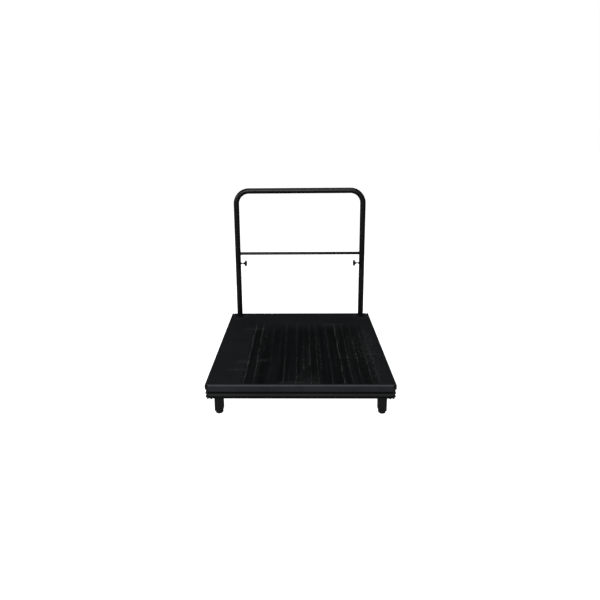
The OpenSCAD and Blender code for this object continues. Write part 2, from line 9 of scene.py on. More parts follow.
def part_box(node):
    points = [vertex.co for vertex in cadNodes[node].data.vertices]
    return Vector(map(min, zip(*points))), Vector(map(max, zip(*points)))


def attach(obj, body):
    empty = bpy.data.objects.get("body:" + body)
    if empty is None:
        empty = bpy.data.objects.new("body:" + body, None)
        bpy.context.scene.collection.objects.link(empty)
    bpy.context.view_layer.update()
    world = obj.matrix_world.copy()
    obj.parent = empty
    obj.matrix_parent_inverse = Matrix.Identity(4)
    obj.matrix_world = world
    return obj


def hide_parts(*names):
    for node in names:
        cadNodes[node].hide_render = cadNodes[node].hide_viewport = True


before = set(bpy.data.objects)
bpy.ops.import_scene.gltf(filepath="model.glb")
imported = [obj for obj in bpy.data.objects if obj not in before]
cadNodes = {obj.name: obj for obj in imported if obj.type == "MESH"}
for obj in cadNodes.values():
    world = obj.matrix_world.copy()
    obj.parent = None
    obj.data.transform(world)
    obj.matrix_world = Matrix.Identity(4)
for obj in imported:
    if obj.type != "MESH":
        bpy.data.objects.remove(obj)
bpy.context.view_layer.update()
scene = bpy.context.scene

mm = 0.001
sides = {"left": -1, "right": 1}


# places on the CAD model, in millimetres

def boxOf(node):
    return [Vector(v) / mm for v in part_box(node)]


def middle(node):
    return sum(boxOf(node), Vector()) / 2


def extent(node):
    low, high = boxOf(node)
    return high - low


def seated(low, high, **fixed):
    # the middle of a box, with some of its coordinates given
    point = (low + high) / 2
    for axis, value in fixed.items():
        setattr(point, axis, value)
    return point


def outerEnd(low, high, axis):
    # the side of the cart that a part is on, -1 or 1, and its end on that side
    start, end = getattr(low, axis), getattr(high, axis)
    return (-1, start) if start < 0 else (1, end)


def arc(start, end, steps):
    # angles from start to end; these two are in degrees
    return [math.radians(start + (end - start) * k / steps) for k in range(steps + 1)]


# camera, floor and light

cameraSettings = {
    "place": (0.0026, -2.6068, 1.4258),
    "yaw": -1.000,      # degrees, to the right
    "pitch": 11.700,    # degrees below the horizon
    "roll": 0.504,      # degrees, clockwise
    "lens": 26.715,     # mm
    "shift": (0.0126, -0.1078),
}


def makeCamera(settings):
    yaw, pitch, roll = (math.radians(settings[k]) for k in ("yaw", "pitch", "roll"))
    forward = Vector((math.sin(yaw) * math.cos(pitch), math.cos(yaw) * math.cos(pitch), -math.sin(pitch)))
    right = Vector((math.cos(yaw), -math.sin(yaw), 0))
    down = forward.cross(right)
    right, down = (right * math.cos(roll) + down * math.sin(roll),
                   down * math.cos(roll) - right * math.sin(roll))
    data = bpy.data.cameras.new("camera")
    data.lens = settings["lens"]
    data.sensor_width = 36
    data.shift_x, data.shift_y = settings["shift"]
    data.clip_end = 100
    camera = bpy.data.objects.new("camera", data)
    scene.collection.objects.link(camera)
    turn = Matrix((right, -down, -forward)).transposed()
    camera.matrix_world = Matrix.Translation(settings["place"]) @ turn.to_4x4()
    scene.camera = camera


lightSettings = {
    # name: place, aim, width, height, watts
    "front": ((-0.6, -4.2, 2.7), (0, 0, 0.35), 4.0, 1.2, 130),
    "left": ((-3.4, -1.2, 1.9), (0, 0, 0.5), 1.6, 1.8, 25),
    "top": ((0.3, -0.7, 4.2), (0, 0, 0), 3.0, 2.4, 35),
    "rearLeft": ((-3.0, 3.2, 1.9), (0, 0, 0.4), 1.6, 1.6, 22),
    "rearRight": ((3.3, 2.6, 2.1), (0, 0, 0.4), 1.6, 1.6, 26),
}
worldSettings = {"seen": 1.0, "lighting": 0.07}
floorSettings = {"size": 60, "colour": (0.9, 0.9, 0.9, 1), "roughness": 0.9, "glow": 1.0,
                 "bounce": (0.3, 0.3, 0.3, 1)}


def makeLights(settings):
    for name, (place, aim, width, height, watts) in settings.items():
        data = bpy.data.lights.new(name, "AREA")
        data.shape = "RECTANGLE"
        data.size, data.size_y, data.energy = width, height, watts
        light = bpy.data.objects.new(name, data)
        scene.collection.objects.link(light)
        light.location = place
        light.rotation_euler = (Vector(aim) - Vector(place)).to_track_quat("-Z", "Y").to_euler()


def feed(tree, node, feeds):
    # each input gets a value, or a link from another node
    for key, value in feeds.items():
        if isinstance(value, bpy.types.NodeSocket):
            tree.links.new(value, node.inputs[key])
        else:
            node.inputs[key].default_value = value


def addNode(tree, kind, feeds=None, **settings):
    made = tree.nodes.new(kind)
    for key, value in settings.items():
        setattr(made, key, value)
    feed(tree, made, feeds or {})
    return made.outputs


def splitByRay(tree, seen, other, output):
    # the camera sees one shader, and every other ray meets the other
    ray = addNode(tree, "ShaderNodeLightPath")["Is Camera Ray"]
    mixed = addNode(tree, "ShaderNodeMixShader", {0: ray, 1: other, 2: seen})
    feed(tree, output, {"Surface": mixed[0]})


def makeWorld(settings):
    world = bpy.data.worlds.new("studio")
    scene.world = world
    world.use_nodes = True
    tree = world.node_tree
    tree.nodes.clear()
    seen, lighting = (addNode(tree, "ShaderNodeBackground", {"Color": (1, 1, 1, 1), "Strength": settings[k]})[0]
                      for k in ("seen", "lighting"))
    splitByRay(tree, seen, lighting, tree.nodes.new("ShaderNodeOutputWorld"))


def makeFloor(settings):
    half = settings["size"] / 2
    mesh = bpy.data.meshes.new("floor")
    corners = [(-half, -half, 0), (half, -half, 0), (half, half, 0), (-half, half, 0)]
    mesh.from_pydata(corners, [], [(0, 1, 2, 3)])
    floor = bpy.data.objects.new("floor", mesh)
    scene.collection.objects.link(floor)
    material = bpy.data.materials.new("paleFloor")
    material.use_nodes = True
    tree = material.node_tree
    shader = tree.nodes["Principled BSDF"]
    feed(tree, shader, {"Base Color": settings["colour"], "Roughness": settings["roughness"],
                        "Emission Color": (1, 1, 1, 1), "Emission Strength": settings["glow"],
                        "Specular IOR Level": 0.0})
    # the floor looks pale but throws little light back up under the cart
    dim = addNode(tree, "ShaderNodeBsdfDiffuse", {"Color": settings["bounce"]})[0]
    splitByRay(tree, shader.outputs[0], dim, tree.nodes["Material Output"])
    mesh.materials.append(material)


makeCamera(cameraSettings)
makeLights(lightSettings)
makeWorld(worldSettings)
makeFloor(floorSettings)
scene.view_settings.view_transform = "Standard"
print("camera, light and floor made")


# shader helpers

class Shading:
    # builds one material's nodes; the place on a surface comes from Object coordinates
    def __init__(self, name):
        self.material = bpy.data.materials.new(name)
        self.material.use_nodes = True
        self.tree = self.material.node_tree
        self.shader = self.tree.nodes["Principled BSDF"]
        self.place = self.node("TexCoord")["Object"]

    def node(self, kind, feeds=None, **settings):
        return addNode(self.tree, "ShaderNode" + kind, feeds, **settings)

    def maths(self, operation, a, b=0.0, clamp=False):
        return self.node("Math", {0: a, 1: b}, operation=operation, use_clamp=clamp)[0]

    def times(self, a, b):
        return self.maths("MULTIPLY", a, b)

    def plus(self, a, b, clamp=False):
        return self.maths("ADD", a, b, clamp)

    def mapped(self, *scale):
        return self.node("Mapping", {"Vector": self.place, "Scale": scale})[0]

    def noise(self, scale, detail, roughness, at=None, warp=0.0):
        return self.node("TexNoise", {"Vector": at or self.place, "Scale": scale, "Detail": detail,
                                      "Roughness": roughness, "Distortion": warp})["Fac"]

    def spread(self, value, low, high, to=(0.0, 1.0)):
        # a value from low to high becomes one from to[0] to to[1], and stays inside that
        return self.node("MapRange", {"Value": value, "From Min": low, "From Max": high,
                                      "To Min": to[0], "To Max": to[1]})["Result"]

    def band(self, value, low, high, soft):
        # 1 between low and high, fading out over soft at both ends
        rise = self.spread(value, low - soft / 2, low + soft / 2)
        fall = self.spread(value, high - soft / 2, high + soft / 2, (1.0, 0.0))
        return self.times(rise, fall)

    def patch(self, x, y, place, softX, softY):
        # 1 inside place (left, right, front, back), fading out at its sides
        left, right, front, back = place
        return self.times(self.band(x, left, right, softX), self.band(y, front, back, softY))

    def mix(self, factor, a, b):
        return self.node("Mix", {0: factor, 6: a, 7: b}, data_type="RGBA")[2]

    def bump(self, height, distance, strength, under=None):
        feeds = {"Strength": strength, "Distance": distance, "Height": height}
        if under:
            feeds["Normal"] = under
        return self.node("Bump", feeds)["Normal"]

    def attribute(self, name):
        return self.node("Attribute", attribute_name=name)["Fac"]

    def axes(self):
        return self.node("SeparateXYZ", {0: self.place})

    def finish(self, colour, roughness, normal, **constants):
        feed(self.tree, self.shader, {"Base Color": colour, "Roughness": roughness, "Normal": normal})
        feed(self.tree, self.shader, {key.replace("_", " "): value for key, value in constants.items()})
        return self.material


def grey(value, warm=0.0):
    return (value * (1 + warm), value, value * (1 - warm), 1)


# finishes

# tones are linear, and lengths in this part are in metres

coatSettings = {
    # dark and light tone, warmth, roughness, shine, tone where worn, unevenness
    "frame": (0.0195, 0.0265, -0.11, 0.42, 0.25, 0.10, 0.35),
    "tube": (0.0042, 0.0058, -0.07, 0.30, 0.34, 0.05, 0.10),
    "leg": (0.0066, 0.0096, -0.04, 0.36, 0.34, 0.06, 0.25),
    "bracket": (0.0085, 0.0130, 0.0, 0.50, 0.25, 0.10, 0.40),
    "oxide": (0.0030, 0.0060, 0.02, 0.36, 0.35, 0.12, 0.30),
}

railSettings = {
    # heights, and distances from the middle of the deck, of the painted highlight on the lip, the painted shade
    # in the grooves and the painted shade on the top rim
    "lip": (0.1862, 0.1968), "lipHighlightFace": (0.4975, 0.4985), "lipHighlightTone": 0.75,
    "grooves": {"x": (0.4882, 0.4970), "y": (0.4882, 0.4925)}, "grooveShadeTop": (0.182, 0.184),
    "shadow": (0.1415, 0.1566), "grooveShadeTone": 0.06,
    "rim": (0.1940, 0.1945), "shadedRimFace": (0.4970, 0.4980), "rimShadeTone": 0.5,
}


def makeCoat(name, settings, lines=None):
    # lines is the axis that an extruded rail runs along
    s = Shading(name)
    dark, light, warm, rough, shine, worn, uneven = settings
    tone = s.spread(s.noise(7, 3, 0.55), 0.35, 0.65)
    colour = s.mix(tone, grey(dark, warm), grey(light, warm))
    dust = s.spread(s.noise(55, 6, 0.7), 0.52, 0.78, (0.0, 0.30))
    colour = s.mix(dust, colour, grey(light * 1.6, 0.03))
    if lines:
        rail = railSettings
        x, y, z = s.axes()
        outward = s.maths("MAXIMUM", s.maths("ABSOLUTE", x), s.maths("ABSOLUTE", y))
        # painted highlight: a band of the outer face under the rails' top edge is made much lighter, unevenly
        lip = s.times(s.band(z, *rail["lip"], 0.0008), s.spread(outward, *rail["lipHighlightFace"]))
        lip = s.times(lip, s.spread(s.noise(30, 5, 0.65), 0.3, 0.6, (0.7, 1.0)))
        colour = s.mix(s.times(lip, rail["lipHighlightTone"]), colour, grey(light * 3.0, warm))
        # painted shade: the grooves of the rails are darkened below their top, and on the front and rear rails
        # a painted shadow band runs along at groove height
        deep = s.times(s.band(outward, *rail["grooves"][lines], 0.0016),
                       s.spread(z, *rail["grooveShadeTop"], (1.0, 0.0)))
        if lines == "x":
            deep = s.maths("MAXIMUM", deep, s.band(z, *rail["shadow"], 0.0012))
        colour = s.mix(deep, colour, grey(dark * rail["grooveShadeTone"]))
        # painted shade: the top faces of the rails, inside the outer edge, are made darker
        rim = s.times(s.spread(z, *rail["rim"]), s.spread(outward, *rail["shadedRimFace"], (1.0, 0.0)))
        colour = s.mix(rim, colour, grey(dark * rail["rimShadeTone"], warm))
    nicks = s.spread(s.noise(260, 3, 0.6), 0.55, 0.62)
    patches = s.spread(s.noise(18, 3, 0.6), 0.45, 0.62)
    # edge follows how sharply the surface turns; it drives the real wear in bare and also a painted highlight
    # below
    edge = s.spread(s.attribute("wear"), 0.2, 0.9)
    bare = s.times(edge, s.times(nicks, patches))
    colour = s.mix(bare, colour, grey(worn, 0.02))
    # painted highlight: every sharp edge is made lighter
    colour = s.mix(s.times(edge, 0.35), colour, grey(light * 1.8))
    normal = s.bump(s.noise(900, 2, 0.5), 0.00002, uneven)
    roughness = s.spread(s.noise(24, 5, 0.6), 0.3, 0.7, (rough - 0.2 * uneven, rough + 0.3 * uneven))
    if lines:
        stretch = [1500.0] * 3
        stretch["xyz".index(lines)] = 3.0
        normal = s.bump(s.noise(1, 3, 0.6, at=s.mapped(*stretch)), 0.00003, 0.5, under=normal)
        roughness = s.mix(deep, roughness, grey(0.85))
    roughness = s.mix(bare, roughness, grey(0.3))
    return s.finish(colour, roughness, normal, Specular_IOR_Level=shine)


deckSettings = {
    "black": 0.0031, "grain": 0.0128, "dusty": 0.0138, "mark": 0.075,
    "field": (-0.305, 0.405, -0.60, 0.235),   # left, right, front and back of the darker field; outside it the deck is made lighter
    "lines": (-0.300, -0.250, -0.172, -0.090, -0.020, 0.060, 0.100, 0.172, 0.232, 0.280, 0.330, 0.385, 0.420),
    "bright": (0.9, 0.8, 0.25, 0.40, 0.4, 0.45, 0.4, 0.3, 0.85, 0.4, 0.3, 0.5, 0.35),
    "smears": ((-0.385, -0.25, 0.205, 0.225), (-0.37, -0.29, -0.26, -0.230), (-0.245, -0.19, -0.245, -0.215),
               (0.15, 0.30, 0.275, 0.300), (-0.12, 0.10, -0.482, -0.465), (-0.40, -0.30, -0.345, -0.330)),
    "beads": ((-0.222, -0.10, 0.20), (0.020, -0.34, -0.05), (0.052, -0.30, -0.12), (0.118, -0.32, -0.02),
              (0.275, -0.30, -0.10), (0.332, -0.26, 0.02)),
    "patches": ((0.365, 0.455, -0.46, -0.10), (0.30, 0.42, -0.20, 0.15), (-0.03, 0.11, -0.49, -0.40),
                (0.40, 0.47, -0.25, 0.25)),
    "rings": (0.038, 0.058),   # round the foot of each upright
    "layers": 0.0026,          # of the plywood, seen on its edge
    "shine": 0.05,
    "darkWood": (0.16, 0.085, 0.045, 1), "paleWood": (0.27, 0.16, 0.09, 1), "dirt": (0.09, 0.05, 0.03, 1),
    "film": ((0.022, 0.013, 0.009, 1), (0.038, 0.023, 0.015, 1)),   # underneath, dark and pale
}


def makeDeck(settings):
    s = Shading("deckFilm")
    x, y, z = s.axes()
    wander = s.spread(s.noise(9, 4, 0.6), 0.0, 1.0, (-0.04, 0.04))
    field = s.patch(s.plus(x, s.times(wander, 0.4)), s.plus(y, s.times(wander, 2.0)),
                    settings["field"], 0.03, 0.14)
    streaks = s.noise(1, 6, 0.62, at=s.mapped(75, 1.6, 1), warp=0.2)
    fine = s.noise(1, 4, 0.6, at=s.mapped(420, 6, 1))
    pale = s.spread(streaks, 0.44, 0.66)
    colour = s.mix(s.times(pale, s.spread(fine, 0.25, 0.65)), grey(settings["black"], -0.10),
                   grey(settings["grain"], -0.08))
    # the deck is made lighter outside the field, unevenly
    cloud = s.spread(s.noise(5, 5, 0.6), 0.3, 0.7, (0.55, 1.0))
    dusty = s.times(s.maths("SUBTRACT", 1.0, field), cloud)
    colour = s.mix(dusty, colour, grey(settings["dusty"], -0.09))
    broken = s.spread(s.noise(1, 5, 0.7, at=s.mapped(6, 16, 1)), 0.36, 0.58)
    bend = s.spread(s.noise(1, 3, 0.5, at=s.mapped(3, 7, 1)), 0.3, 0.7, (-0.004, 0.004))
    bent = s.plus(x, bend)
    marks = 0.0
    for place, bright in zip(settings["lines"], settings["bright"]):
        line = s.band(bent, place - 0.0022, place + 0.0022, 0.0030)
        marks = s.plus(s.times(line, bright), marks)
    marks = s.times(marks, s.times(broken, s.band(y, -0.56, 0.30, 0.1)))
    drops = s.spread(s.noise(1, 2, 0.5, at=s.mapped(25, 62, 1)), 0.52, 0.60)
    scrubbed = s.spread(s.noise(1, 5, 0.7, at=s.mapped(110, 45, 1)), 0.42, 0.66)
    wriggles = s.spread(s.noise(1, 3, 0.6, at=s.mapped(120, 50, 1), warp=1.6), 0.54, 0.64)
    beads = [(place - 0.003, place + 0.003, start, end) for place, start, end in settings["beads"]]
    for places, across, soft, texture, strength in (
            (beads, x, (0.004, 0.08), drops, 0.6), (settings["smears"], bent, (0.03, 0.02), scrubbed, 0.45),
            (settings["patches"], x, (0.05, 0.12), wriggles, 0.42)):
        for place in places:
            patch = s.times(s.patch(across, y, place, *soft), texture)
            marks = s.plus(marks, s.times(patch, strength))
    scuffed = s.times(s.spread(s.noise(14, 4, 0.6), 0.58, 0.7),
                      s.spread(s.noise(330, 3, 0.6, warp=1.0), 0.5, 0.68))
    marks = s.plus(marks, s.times(scuffed, 0.20))
    post = middle("lower_post_right") * mm
    away = s.maths("SUBTRACT", s.maths("ABSOLUTE", x), post.x)
    behind = s.maths("SUBTRACT", y, post.y)
    reach = s.maths("SQRT", s.plus(s.maths("POWER", away, 2.0), s.maths("POWER", behind, 2.0)))
    ring = s.times(s.band(reach, *settings["rings"], 0.006), scrubbed)
    marks = s.plus(marks, s.times(ring, 0.4), clamp=True)
    colour = s.mix(marks, colour, grey(settings["mark"], -0.03))
    low, high = (v[2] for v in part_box("deck_panel"))
    side = s.band(z, low + 0.0006, high - 0.0006, 0.0002)
    ply = s.maths("PINGPONG", s.maths("SUBTRACT", z, low), settings["layers"])
    layer = s.spread(ply, settings["layers"] * 0.45, settings["layers"] * 0.55)
    wood = s.mix(layer, settings["darkWood"], settings["paleWood"])
    wood = s.mix(s.spread(s.noise(160, 5, 0.7), 0.4, 0.7), wood, settings["dirt"])
    colour = s.mix(side, colour, wood)
    under = s.spread(z, low + 0.0004, low + 0.0006, (1.0, 0.0))
    film = s.mix(s.spread(streaks, 0.35, 0.7), *settings["film"])
    colour = s.mix(under, colour, film)
    roughness = s.spread(streaks, 0.3, 0.75, (0.42, 0.62))
    normal = s.bump(streaks, 0.00025, 0.35)
    normal = s.bump(s.noise(900, 2, 0.5), 0.00005, 0.5, under=normal)
    return s.finish(colour, roughness, normal, Specular_IOR_Level=settings["shine"])


def makeZinc():
    s = Shading("zincPlate")
    spangle = s.noise(420, 4, 0.6, warp=0.6)
    colour = s.mix(s.spread(spangle, 0.3, 0.7), grey(0.20, 0.01), grey(0.36, 0.02))
    grime = s.spread(s.noise(90, 5, 0.7), 0.5, 0.72, (0.0, 0.6))
    colour = s.mix(grime, colour, grey(0.05, 0.06))
    roughness = s.spread(spangle, 0.3, 0.7, (0.32, 0.5))
    return s.finish(colour, roughness, s.bump(spangle, 0.00003, 0.5), Metallic=1.0)


def makeBareTube():
    s = Shading("bareTube")
    drawn = s.noise(1, 4, 0.6, at=s.mapped(1400, 1400, 5))
    rubbed = s.spread(s.noise(1, 5, 0.7, at=s.mapped(220, 220, 14)), 0.48, 0.64)
    colour = s.mix(s.spread(drawn, 0.3, 0.7), grey(0.30, 0.01), grey(0.42, 0.01))
    colour = s.mix(s.times(rubbed, 0.55), colour, grey(0.62, 0.01))
    roughness = s.spread(drawn, 0.3, 0.7, (0.28, 0.44))
    return s.finish(colour, roughness, s.bump(drawn, 0.00003, 0.5), Metallic=1.0)


mouldedSettings = {
    # tone, roughness, scale of the grain, shine
    "endCap": (0.012, 0.62, 1500, 0.18),
    "knob": (0.0050, 0.38, 1300, 0.16),
    "hub": (0.060, 0.50, 1100, 0.45),
    "nylon": (0.62, 0.45, 1300, 0.50),
    "foot": (0.011, 0.72, 800, 0.18),
    "tyre": (0.013, 0.78, 700, 0.18),
}


def makeMoulded(name, settings):
    s = Shading(name)
    tone, rough, scale, shine = settings
    colour = s.mix(s.spread(s.noise(30, 4, 0.6), 0.3, 0.7), grey(tone * 0.85, 0.02), grey(tone * 1.15, 0.02))
    dust = s.spread(s.noise(150, 6, 0.7), 0.5, 0.75, (0.0, 0.3))
    colour = s.mix(dust, colour, grey(tone * 0.75 + 0.02, 0.05))
    rub = s.times(s.spread(s.attribute("wear"), 0.3, 0.8), 0.3)
    colour = s.mix(rub, colour, grey(tone * 0.8 + 0.03, 0.03))
    roughness = s.spread(s.noise(40, 4, 0.6), 0.3, 0.7, (rough - 0.06, rough + 0.08))
    return s.finish(colour, roughness, s.bump(s.noise(scale, 3, 0.6), 0.00005, 0.6),
                    Specular_IOR_Level=shine)


finishes = {
    "frameX": makeCoat("frameCoatAcross", coatSettings["frame"], "x"),
    "frameY": makeCoat("frameCoatAlong", coatSettings["frame"], "y"),
    "tube": makeCoat("tubeCoat", coatSettings["tube"]),
    "leg": makeCoat("legCoat", coatSettings["leg"]),
    "bracket": makeCoat("bracketCoat", coatSettings["bracket"]),
    "oxide": makeCoat("blackOxide", coatSettings["oxide"]),
    "deck": makeDeck(deckSettings),
    "zinc": makeZinc(),
    "bare": makeBareTube(),
}
finishes.update({name: makeMoulded(name + "Moulded", s) for name, s in mouldedSettings.items()})
print("finishes made:", len(finishes))


# mesh helpers; sizes are in millimetres from here on

def camel(node):
    # side_rail_left becomes sideRailLeft
    first, *rest = node.split("_")
    return first + "".join(word.capitalize() for word in rest)


def linked(mesh):
    # a piece gets its name in finishPiece
    piece = bpy.data.objects.new("piece", mesh)
    scene.collection.objects.link(piece)
    return piece


def newPiece(points, edges=(), faces=()):
    mesh = bpy.data.meshes.new("piece")
    mesh.from_pydata([Vector(p) * mm for p in points], edges, faces)
    mesh.validate()
    return linked(mesh)


def workOn(*meshes):
    work = bmesh.new()
    for mesh in meshes:
        work.from_mesh(mesh)
    return work


def putBack(work, piece=None):
    # the worked mesh goes to the piece, or to a new one
    piece = piece or linked(bpy.data.meshes.new("piece"))
    work.to_mesh(piece.data)
    work.free()
    return piece


def mergePoints(work, distance=2e-6):
    bmesh.ops.remove_doubles(work, verts=work.verts, dist=distance)


def takeModifiers(piece):
    # the modifiers' result becomes the piece's own mesh
    graph = bpy.context.evaluated_depsgraph_get()
    graph.update()
    mesh = bpy.data.meshes.new_from_object(piece.evaluated_get(graph), preserve_all_data_layers=True,
                                           depsgraph=graph)
    piece.modifiers.clear()
    piece.data = mesh


def facingOut(piece):
    work = workOn(piece.data)
    mergePoints(work, 1e-6)
    bmesh.ops.recalc_face_normals(work, faces=work.faces)
    putBack(work, piece)


def markSharpness(mesh):
    # an attribute for how sharply the surface turns outwards at each point
    least, span = 0.3, 0.2   # radians
    work = workOn(mesh)
    values = []
    for point in work.verts:
        turns = [e.calc_face_angle_signed(0.0) for e in point.link_edges if len(e.link_faces) == 2]
        values.append(min(1.0, max(0.0, max(turns, default=0.0) - least) / span))
    work.free()
    attribute = mesh.attributes.new("wear", "FLOAT", "POINT")
    attribute.data.foreach_set("value", values)


def smooth(mesh, angle=32):
    mesh.shade_smooth()
    mesh.set_sharp_from_angle(angle=math.radians(angle))


def finishPiece(piece, body, finish, *stoodFor, name=None, angle=32):
    piece.name = piece.data.name = name or camel(stoodFor[0])
    piece.data.materials.clear()
    piece.data.materials.append(finishes[finish])
    if angle:
        smooth(piece.data, angle)
    markSharpness(piece.data)
    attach(piece, body)
    if stoodFor:
        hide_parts(*stoodFor)


def softened(node, width):
    # a copy of a CAD node with its triangles joined and its edges rounded
    work = workOn(cadNodes[node].data)
    mergePoints(work)
    bmesh.ops.dissolve_limit(work, angle_limit=math.radians(0.5), verts=work.verts, edges=work.edges)
    piece = putBack(work)
    bevel = piece.modifiers.new("edges", "BEVEL")
    bevel.width, bevel.segments = width * mm, 3
    bevel.limit_method, bevel.angle_limit = "ANGLE", math.radians(28)
    bevel.use_clamp_overlap = False
    bevel.miter_outer = "MITER_ARC"
    takeModifiers(piece)
    smooth(piece.data)
    piece.modifiers.new("flats", "WEIGHTED_NORMAL").keep_sharp = True
    takeModifiers(piece)
    return piece


def hexagon(across):
    # limits a radius to a hexagon of this width across its flats
    return lambda a: across / 2 / math.cos(a % (math.pi / 3) - math.pi / 6)


def cross(length, width):
    # limits a radius to a cross of this length and arm width
    def limit(a):
        a = (a + math.pi / 4) % (math.pi / 2) - math.pi / 4
        return min(length / 2 / math.cos(a), width / 2 / max(abs(math.sin(a)), 1e-6))
    return limit


def ribbed(radius, depth, count):
    # limits a radius to a ring of rounded ribs
    return lambda a: radius - depth * abs(math.sin(a * count / 2)) ** 3


def turned(outline, centre=(0, 0, 0), axis="z", steps=72, closed=False):
    # outline is a list of (radius, height) or (radius, height, limit), turned round axis through centre
    along = {"x": Vector((1, 0, 0)), "-x": Vector((-1, 0, 0)), "z": Vector((0, 0, 1))}[axis]
    across = along.orthogonal().normalized()
    third = along.cross(across)
    points, rings = [], []
    for radius, height, *limit in outline:
        count = steps if radius > 1e-4 else 1
        rings.append(list(range(len(points), len(points) + count)))
        for i in range(count):
            a = 2 * math.pi * i / steps
            reach = min(radius, limit[0](a)) if limit else radius
            points.append(Vector(centre) + along * height
                          + (across * math.cos(a) + third * math.sin(a)) * reach)
    faces = []
    for low, high in zip(rings, rings[1:] + rings[:1] if closed else rings[1:]):
        for i in range(steps):
            corner = [ring[k % len(ring)] for ring, k in ((low, i), (low, i + 1), (high, i + 1), (high, i))]
            corner = list(dict.fromkeys(corner))
            if len(corner) > 2:
                faces.append(corner)
    piece = newPiece(points, faces=faces)
    facingOut(piece)
    return piece


def bushing(bore, wide, start, end, inner, outer, centre):
    # a short tube along x, its edges broken by inner and outer
    outline = [(bore, start + inner), (bore + inner, start), (wide - outer, start), (wide, start + outer),
               (wide, end - outer), (wide - outer, end), (bore + inner, end), (bore, end - inner)]
    return turned(outline, (0, centre.y, centre.z), "x", closed=True)


def joined(pieces):
    # several loose pieces become one
    made = putBack(workOn(*(piece.data for piece in pieces)))
    for piece in pieces:
        bpy.data.objects.remove(piece)
    return made


def ringsOf(node, bore, edge, centre, body):
    # the loose rings of a CAD node, such as washers
    rings = [bushing(bore, (high.y - low.y) / 2, low.x, high.x, edge, edge, centre)
             for low, high in loosened(node)]
    finishPiece(joined(rings), body, "nylon", node)


# node trees

def newTree(name, inputs):
    tree = bpy.data.node_groups.new(name, "GeometryNodeTree")
    tree.interface.new_socket("Geometry", in_out="INPUT", socket_type="NodeSocketGeometry")
    for label, kind, value in inputs:
        socket = tree.interface.new_socket(label, in_out="INPUT", socket_type="NodeSocket" + kind)
        if value is not None:
            socket.default_value = value
    tree.interface.new_socket("Geometry", in_out="OUTPUT", socket_type="NodeSocketGeometry")
    given = tree.nodes.new("NodeGroupInput").outputs

    def add(kind, feeds=None, **settings):
        return addNode(tree, kind, feeds, **settings)

    def close(geometry):
        real = add("GeometryNodeRealizeInstances", {"Geometry": geometry})
        painted = add("GeometryNodeSetMaterial", {"Geometry": real[0], "Material": given["Material"]})
        add("NodeGroupOutput", {0: painted[0]})
        return tree

    return given, add, close


def useTree(piece, tree, **values):
    modifier = piece.modifiers.new(tree.name, "NODES")
    modifier.node_group = tree
    for socket in tree.interface.items_tree:
        key = socket.name.replace(" ", "_")
        if socket.in_out == "INPUT" and key in values:
            modifier[socket.identifier] = values[key]
    takeModifiers(piece)


def makeTubeTree():
    # a tube that follows the piece's edges, with its corners bent to a radius
    given, add, close = newTree("bentTube", [
        ("Tube radius", "Float", 0.019), ("Bend radius", "Float", 0.0), ("Bend rings", "Int", 24),
        ("Sides", "Int", 72), ("Material", "Material", None)])
    path = add("GeometryNodeMeshToCurve", {"Mesh": given["Geometry"]})
    bent = add("GeometryNodeFilletCurve", {"Curve": path[0], "Radius": given["Bend radius"],
                                           "Count": given["Bend rings"]}, mode="POLY")
    ring = add("GeometryNodeCurvePrimitiveCircle", {"Resolution": given["Sides"],
                                                    "Radius": given["Tube radius"]})
    swept = add("GeometryNodeCurveToMesh", {"Curve": bent[0], "Profile Curve": ring["Curve"]})
    return close(swept[0])


def makeBeadTree():
    # small overlapping ripples of weld metal along the piece's edges
    given, add, close = newTree("weldBead", [
        ("Spacing", "Float", 0.0016), ("Size", "Float", 0.002), ("Seed", "Int", 3),
        ("Material", "Material", None)])
    path = add("GeometryNodeMeshToCurve", {"Mesh": given["Geometry"]})
    evened = add("GeometryNodeResampleCurve", {"Curve": path[0], "Length": given["Spacing"]},
                 mode="LENGTH")
    ripple = add("GeometryNodeMeshIcoSphere", {"Radius": 1.0, "Subdivisions": 2})
    direction = add("GeometryNodeInputTangent")
    turn = add("FunctionNodeAlignRotationToVector", {"Vector": direction[0]}, axis="X")
    size = add("FunctionNodeRandomValue", {2: 0.82, 3: 1.12, "Seed": given["Seed"]}, data_type="FLOAT")
    scale = add("ShaderNodeMath", {0: size[1], 1: given["Size"]}, operation="MULTIPLY")[0]
    short = add("ShaderNodeMath", {0: scale, 1: 0.75}, operation="MULTIPLY")[0]
    flat = add("ShaderNodeCombineXYZ", {0: short, 1: scale, 2: scale})
    placed = add("GeometryNodeInstanceOnPoints", {"Points": evened[0], "Scale": flat[0],
                                                  "Instance": ripple["Mesh"],
                                                  "Rotation": turn[0]})
    return close(placed[0])


def makeFastenerTree():
    # one copy of a fastener on each point of the piece, its Z along the point's "pointing"
    given, add, close = newTree("fasteners", [
        ("Fastener", "Object", None), ("Seed", "Int", 5), ("Material", "Material", None)])
    pointing = add("GeometryNodeInputNamedAttribute", {"Name": "pointing"}, data_type="FLOAT_VECTOR")
    turn = add("FunctionNodeAlignRotationToVector", {"Vector": pointing["Attribute"]}, axis="Z")
    spin = add("FunctionNodeRandomValue", {2: 0.0, 3: 2 * math.pi, "Seed": given["Seed"]}, data_type="FLOAT")
    about = add("FunctionNodeAxisAngleToRotation", {"Axis": (0, 0, 1), "Angle": spin[1]})
    both = add("FunctionNodeRotateRotation", {"Rotation": turn[0], "Rotate By": about[0]},
               rotation_space="LOCAL")
    source = add("GeometryNodeObjectInfo", {"Object": given["Fastener"]})
    placed = add("GeometryNodeInstanceOnPoints", {"Points": given["Geometry"], "Rotation": both[0],
                                                  "Instance": source["Geometry"]})
    return close(placed[0])


tubeTree, beadTree, fastenerTree = makeTubeTree(), makeBeadTree(), makeFastenerTree()


